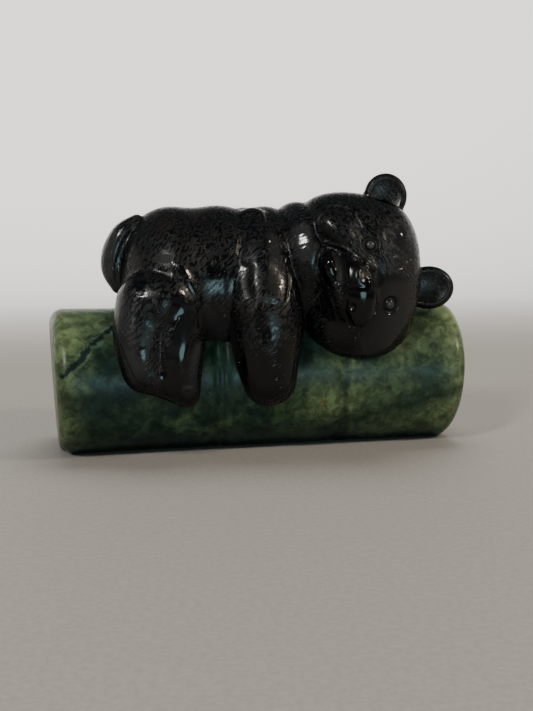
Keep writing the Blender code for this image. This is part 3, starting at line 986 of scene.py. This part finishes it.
# Spots: a pixel, how far the spot reaches and how strong it is. The dark spot at (345, 385) is painted
# shade in the node's groove.
DARK_SPOTS = (
    ((112, 365), 6.5, 0.7), ((132, 388), 5.5, 0.5), ((345, 385), 1.6, 0.75), ((333, 432), 4.0, 0.7),
    ((140, 447), 9.0, 0.8), ((435, 345), 1.0, 0.8), ((415, 352), 1.2, 0.5), ((300, 372), 6.0, 0.5),
    ((205, 380), 3.0, 0.5), ((95, 405), 8.0, 0.55), ((215, 405), 8.0, 0.45), ((255, 425), 8.0, 0.4),
)
LIGHT_SPOTS = (
    ((85, 325), 6.0, 0.6), ((430, 325), 7.0, 0.4), ((325, 410), 6.5, 0.75), ((440, 415), 5.0, 0.8),
    ((65, 420), 3.5, 0.5), ((395, 360), 5.0, 0.35), ((390, 425), 7.0, 0.7), ((355, 395), 6.0, 0.45),
)
PALE_SPOTS = (
    ((170, 418), 9.0, 1.0), ((110, 378), 5.0, 0.8), ((215, 400), 5.0, 0.7), ((300, 380), 5.0, 0.5),
    ((400, 370), 6.0, 0.5),
)
RUST_SPOTS = (((323, 401), 0.55, 0.8), ((451, 408), 0.6, 0.8))


def soft_line(flat, pixels, width):
    """1 on a line drawn over the log, and less beside it."""
    return np.exp(-(nearest_on_line(flat, log_pixels(pixels))[0] / width) ** 2)


def soft_spots(flat, spots):
    total = np.zeros(len(flat))
    for pixel, reach, amount in spots:
        away = norm(flat - log_pixels([pixel]), axis=1)
        total += amount * np.exp(-(away / reach) ** 2)
    return total


def paint_log(log):
    """Numbers on the log's points that its stone's colours, painted shade and painted light follow."""
    points = read_rows(log.data.vertices, "co", 3)
    length, around = unrolled(points)
    flat = np.column_stack([length, around])
    dark_and_shade = soft_spots(flat, DARK_SPOTS) + 0.85 * soft_line(flat, DARK_BAND, BAND_WIDTH)
    # Painted shade inside the node's groove
    dark_and_shade += 0.8 * soft_line(flat, NODE_SHADE, NODE_WIDTH)
    # Painted shade low on the front, towards the floor
    dark_and_shade += 0.85 * np.exp(-(points[:, 2] / PAINTED_SHADE_HEIGHT) ** 2) * (points[:, 1] < 0)
    # Pale stone, with painted highlight on the node's edge
    light = soft_spots(flat, LIGHT_SPOTS) + 0.5 * soft_line(flat, NODE_SHINE, NODE_WIDTH)
    # Painted light shining through the thin ends
    for middle, width in PAINTED_GLOW_ENDS:
        light += np.exp(-((length - middle) / width) ** 2)
    number_on(log.data, "vein", nearest_on_line(flat, log_pixels(VEIN))[0])
    number_on(log.data, "dark_and_shade", np.clip(dark_and_shade, 0, 1))
    number_on(log.data, "light", np.clip(light, 0, 1))
    number_on(log.data, "pale", np.clip(soft_spots(flat, PALE_SPOTS) + 0.15, 0, 1))
    number_on(log.data, "rust", np.clip(soft_spots(flat, RUST_SPOTS), 0, 1))


# Zones of the figure left smooth: a line, how far the smooth zone reaches from it, how soft its edge is,
# how much fur stays in it, and the zone's shift on the far side. Lengths are in millimetres.
Zone = namedtuple("Zone", "pixels reach soft left far_shift", defaults=(None,))
ZONES = (
    # Muzzle, lip and nose
    Zone(((329, 258), (329, 278)), 1.8, 0.8, 0.0),
    Zone(((352, 266), (352, 284)), 1.5, 0.8, 0.0),
    Zone(((360, 290), (360, 312)), 4.2, 0.8, 0.0),
    Zone(((367, 262), (372, 268)), 1.2, 0.8, 0.3),
    # Face: smooth below the brow and down to the jaw
    Zone(((385, 287), (402, 290)), 3.0, 2.0, 0.0),
    Zone(((382, 320), (378, 345)), 4.8, 2.0, 0.0),
    Zone(((401, 300), (396, 325)), 3.2, 2.0, 0.0),
    Zone(((401, 232), (402, 243)), 1.5, 0.8, 0.0),
    Zone(((340, 330), (350, 345)), 3.0, 2.0, 0.25),
    # Eyes
    Zone(((370.5, 243), (370.5, 246)), 1.7, 0.5, 0.0),
    Zone(((391, 304), (391, 306)), 1.8, 0.5, 0.0),
    # Neck
    Zone(((301, 234), (305, 248)), 2.2, 1.0, 0.42),
    Zone(((285, 252), (291, 275), (296, 296), (300, 308), (303, 321)), 0.8, 0.6, 0.2),
    # Foreleg and its paw
    Zone(((272, 242), (276, 262), (274, 284)), 2.0, 1.0, 0.45, 0.0),
    Zone(((233, 275), (232, 295)), 1.0, 0.8, 0.42, 0.0),
    Zone(((259, 314), (263, 328), (269, 342)), 1.3, 0.8, 0.42, 0.0),
    Zone(((256, 372), (270, 384)), 4.6, 2.0, 0.0, 0.0),
    Zone(((284, 350), (290, 375)), 2.2, 1.5, 0.1, 0.0),
    # Belly
    Zone(((216, 270), (216, 315)), 1.8, 1.5, 0.5, 0.0),
    # Hind leg: thigh, crest, calf, shin and foot
    Zone(((135, 267), (141, 286), (140, 296)), 1.3, 1.0, 0.42, LEG),
    Zone(((182, 270), (189, 281), (193, 290)), 0.9, 0.8, 0.35, LEG),
    Zone(((178, 294), (177, 306), (174, 319)), 1.5, 0.7, 0.3, LEG),
    Zone(((190, 312), (183, 335), (176, 355), (172, 378), (172, 398)), 2.3, 1.2, 0.0, LEG),
    Zone(((140, 350), (141, 374)), 1.3, 1.0, 0.42, LEG),
    Zone(((170, 395), (188, 400)), 1.6, 1.0, 0.0, LEG),
    Zone(((122, 290), (120, 325), (124, 345)), 1.2, 1.0, 0.35, LEG),
    # Tail
    Zone(((114, 234), (110, 252), (111, 272)), 1.6, 1.0, 0.25),
)
# Painted sheen, where the polish is made paler to stand in for highlights and reflections: a line, how far
# the zone reaches, how soft its edge is and how pale it is
PAINTED_SHEEN_ZONES = (
    (((398, 240), (402, 270), (398, 300), (388, 330), (376, 348)), 4.5, 4.0, 0.42),
    (((353, 228), (362, 250), (372, 264)), 1.2, 1.5, 0.5),
    (((113, 236), (109, 256), (112, 284)), 1.6, 1.5, 1.0),
    (((120, 290), (124, 330), (137, 368)), 2.2, 3.0, 0.7),
    (((274, 240), (277, 262), (274, 286)), 1.8, 1.5, 0.5),
    (((301, 232), (305, 250)), 2.4, 1.5, 0.8),
    (((190, 312), (182, 335), (172, 355)), 2.0, 1.5, 0.2),
)
# Painted shade in the recesses above and between the legs
PAINTED_SHADE_ZONES = (
    (((160, 258), (168, 259)), 1.6, 2.5),
    (((205, 318), (213, 330)), 3.2, 2.0),
    (((230, 322), (234, 345)), 1.6, 1.5),
    (((198, 346), (193, 368), (190, 392)), 2.0, 1.5),
)
# How strongly such a place counts as carved, which paints it with the grooves' shade
PAINTED_SHADE_AMOUNT = 0.6
# Places without a high polish, in the two ears and on top of the muzzle: a pixel, the reach and the edge
MATT_SPOTS = (((385, 188), 5.5, 1.0), ((437, 288), 5.5, 1.0), ((359, 274), 2.6, 2.0))
MATT_ROUGHNESS = 0.3
# Size of the painted highlight on the pupils, in millimetres
PUPIL_RADIUS = 0.95
PUPIL_EDGE = 0.3
# Where the strokes turn from the body's slant to the head's
HEAD_START = 12
HEAD_EDGE = 4


def within(away, reach, edge):
    """1 within the reach of something and 0 beyond it, with a soft edge."""
    return np.clip((reach - away) / edge + 0.5, 0, 1)


def from_line(points, pixels, far_shift=None):
    """Distance in millimetres from a line drawn over the panda, and from its twin on the far side."""
    path = seen(pixels)
    away = nearest_on_line(points, path)[0]
    if far_shift is not None:
        away = np.minimum(away, nearest_on_line(points, mirrored(path, far_shift))[0])
    return away / UNIT


def from_pixel(points, pixel):
    return norm(points - seen([pixel]), axis=1) / UNIT


def paint_panda(panda, points):
    """Numbers on the panda's points that its glass follows, painted shade, highlights and sheen among
    them.
    """
    fur = np.ones(len(points))
    for zone in ZONES:
        inside = within(from_line(points, zone.pixels, zone.far_shift), zone.reach, zone.soft)
        fur = np.minimum(fur, 1 - (1 - zone.left) * inside)
    # Carving depth, from which the glass paints shade in grooves and a highlight on ridges
    carving_and_shade = carved_depth(points) / UNIT
    # Painted shade in the recesses, entered as if carved
    for pixels, reach, edge in PAINTED_SHADE_ZONES:
        carving_and_shade = np.maximum(carving_and_shade, PAINTED_SHADE_AMOUNT * within(from_line(points, pixels, 0.0), reach, edge))
    matt, pupil_highlight, painted_sheen = np.zeros((3, len(points)))
    for pixel, reach, edge in MATT_SPOTS:
        matt = np.maximum(matt, MATT_ROUGHNESS * within(from_pixel(points, pixel), reach, edge))
    # Painted highlight on the two pupils
    for ring in RINGS[:2]:
        pupil_highlight = np.maximum(pupil_highlight, within(from_pixel(points, ring.pixel), PUPIL_RADIUS, PUPIL_EDGE))
    # Painted sheen where highlights and reflections fall
    for pixels, reach, edge, amount in PAINTED_SHEEN_ZONES:
        painted_sheen = np.maximum(painted_sheen, amount * within(from_line(points, pixels), reach, edge))
    head = np.clip((points[:, 0] / UNIT - HEAD_START) / HEAD_EDGE, 0, 1)
    for name, values in (("fur", fur), ("carving_and_shade", carving_and_shade), ("matt", matt), ("pupil_highlight", pupil_highlight),
                         ("painted_sheen", painted_sheen), ("head", head)):
        number_on(panda.data, name, values)


# The studio's floor is a round dish: flat in the middle, then curved up into a low wall.
DISH_SIDES = 96
DISH_MIDDLE_Y = -0.5
DISH_FLAT = 0.9
DISH_CURVE = 0.3
DISH_TOP = 0.4
CURVE_RINGS = 13


def stage():
    """Plain pale floor, curved up all round into a low wall that glows behind the carving."""
    turns = np.linspace(0, math.pi / 2, CURVE_RINGS)
    profile = [(DISH_FLAT + DISH_CURVE * math.sin(turn), DISH_CURVE * (1 - math.cos(turn)))
               for turn in turns]
    profile.append((DISH_FLAT + DISH_CURVE, DISH_TOP))
    points = [(0.0, DISH_MIDDLE_Y, 0.0)]
    for radius, height in profile:
        for side in range(DISH_SIDES):
            turn = 2 * math.pi * side / DISH_SIDES
            points.append((radius * math.sin(turn), DISH_MIDDLE_Y + radius * math.cos(turn), height))
    faces = [(0, 1 + (side + 1) % DISH_SIDES, 1 + side) for side in range(DISH_SIDES)]
    floor = smooth_object("studio_floor", points, faces + ring_faces(len(profile), DISH_SIDES, 1))
    floor.data.materials.append(pale_floor())


def pale_floor():
    g = Graph("pale floor")
    grain = g.noise(g.place(IN_MILLIMETRES), 0.9, 3.0, 0.6)
    colour = g.blend(g.range(grain, 0.3, 0.7), FLOOR_DARK, FLOOR_LIGHT)
    parts = g.feed(g.node("ShaderNodeSeparateXYZ"), {0: g.position()})
    behind = g.range(parts.outputs["Y"], 0.12, 0.66, 0.0, 1.5)
    height = g.range(parts.outputs["Z"], 0.0, 0.25, 0.0, 0.22)
    g.feed(g.shader, {"Base Color": colour, "Roughness": 0.75, "Emission Color": WALL_GLOW,
                      "Emission Strength": g.math("MAXIMUM", behind, height)})
    return g.material


# Oval lights, in metres; azimuth 0 is in front of the carving, and above 0 is to the right of it.
Lamp = namedtuple("Lamp", "name azimuth elevation reach size radiance colour glossy", defaults=(True,))
LAMPS = (
    Lamp("window", 10, 4, 0.85, (0.42, 0.26), 6.5, (0.56, 0.9, 1.0)),
    Lamp("white_lamp", -45, 38, 0.75, (0.1, 0.14), 100.0, (1.0, 0.98, 0.95)),
    Lamp("warm_lamp", 58, 35, 0.75, (0.09, 0.13), 105.0, (1.0, 0.84, 0.66)),
    Lamp("softbox", 160, 70, 0.95, (0.6, 0.6), 9.8, (1.0, 0.97, 0.92), False),
)
LAMP_AIM = (0, 0, 0.03)
AIR_COLOUR = (0.8, 0.9, 1.0, 1)
AIR_STRENGTH = 0.1


def area_light(lamp):
    turn, lift = math.radians(lamp.azimuth), math.radians(lamp.elevation)
    level = math.cos(lift)
    direction = Vector((math.sin(turn) * level, -math.cos(turn) * level, math.sin(lift)))
    light = bpy.data.lights.new(lamp.name, "AREA")
    light.shape = "ELLIPSE"
    light.size, light.size_y = lamp.size
    light.energy = lamp.radiance * math.pi * lamp.size[0] * lamp.size[1] * math.pi / 4
    light.color = lamp.colour
    made = new_object(lamp.name, light)
    made.location = Vector(LAMP_AIM) + direction * lamp.reach
    made.rotation_euler = direction.to_track_quat("Z", "Y").to_euler()
    made.visible_glossy = lamp.glossy


def lights():
    world = bpy.data.worlds.new("studio air")
    world.use_nodes = True
    background = world.node_tree.nodes["Background"]
    background.inputs["Color"].default_value = AIR_COLOUR
    background.inputs["Strength"].default_value = AIR_STRENGTH
    bpy.context.scene.world = world
    for lamp in LAMPS:
        area_light(lamp)


def camera():
    back = Vector(camera_axes()[2])
    data = bpy.data.cameras.new("camera")
    data.sensor_width = SENSOR_WIDTH
    data.lens = PIXEL_FOCUS * data.sensor_width / max(PHOTO_SIZE)
    data.clip_start, data.clip_end = CLIP_RANGE
    made = new_object("camera", data)
    made.location = Vector(CAMERA_TARGET) + back * CAMERA_REACH
    made.rotation_euler = (-back).to_track_quat("-Z", "Y").to_euler()
    bpy.context.scene.camera = made


camera()
stage()
lights()

log = make_log()
paint_log(log)
log.data.materials.append(green_stone())
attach(log, "root")
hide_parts("bamboo_log")

panda, panda_points = make_panda()
paint_panda(panda, panda_points)
panda.data.materials.append(dark_glass())
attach(panda, "root")
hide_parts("panda")
